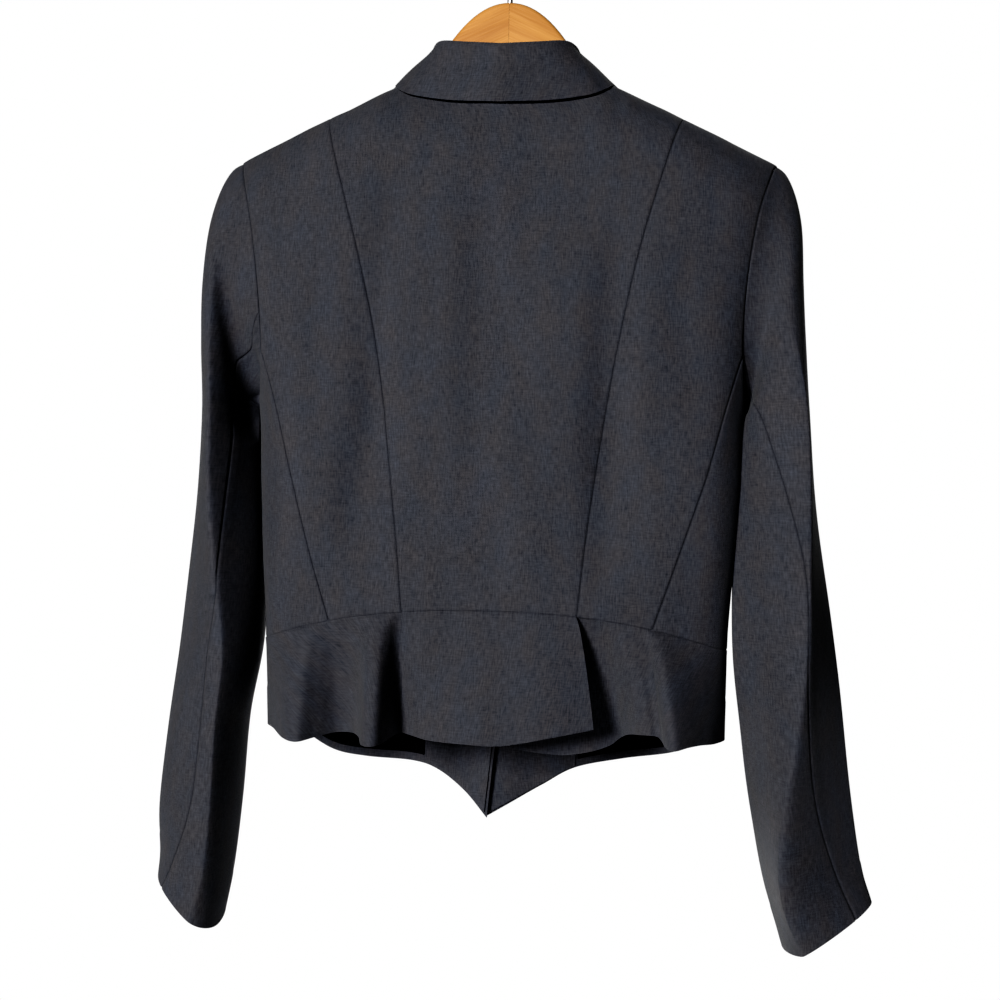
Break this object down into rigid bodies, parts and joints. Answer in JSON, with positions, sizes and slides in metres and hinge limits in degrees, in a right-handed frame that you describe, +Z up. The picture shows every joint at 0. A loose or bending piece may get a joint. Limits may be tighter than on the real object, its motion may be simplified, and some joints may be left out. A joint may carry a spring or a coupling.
{
  "type": "cropped blazer on a hanger",
  "caption": "Cropped fitted blazer with princess seams, notched collar, long sleeves and a fluted peplum with pointed fronts, hung on a wooden hanger by its wire hook.",
  "frame": {"origin": "inside crown of the hanger's hook, where a rail carries it", "axes": "+Z up, +X towards the wearer's right, +Y towards the wearer's front, so the back of the jacket faces -Y"},
  "size_m": [0.5456, 0.173, 0.7783],
  "materials": {
    "wool": "matt charcoal wool with a fine slub",
    "lining": "smooth black twill",
    "horn": "dull black",
    "wood": "satin varnished, honey brown",
    "steel": "polished wire"
  },
  "bodies": {
    "root": {"back_center": "wool", "back_side_left": "wool", "back_side_right": "wool", "side_left": "wool", "side_right": "wool", "front_left": "wool", "front_right": "wool", "lapel_left": "wool", "lapel_right": "wool", "collar_stand": "wool", "collar_fall": "wool", "sleeve_upper_left": "wool", "sleeve_upper_right": "wool", "sleeve_under_left": "wool", "sleeve_under_right": "wool", "peplum_back": "wool", "peplum_side_left": "wool", "peplum_side_right": "wool", "peplum_front_left": "wool", "peplum_front_right": "wool", "facing_left": "wool", "facing_right": "wool", "lining_left": "lining", "lining_right": "lining", "button": "horn", "hanger_arm_left": "wood", "hanger_arm_right": "wood", "hanger_hook": "steel"}
  },
  "joints": []
}
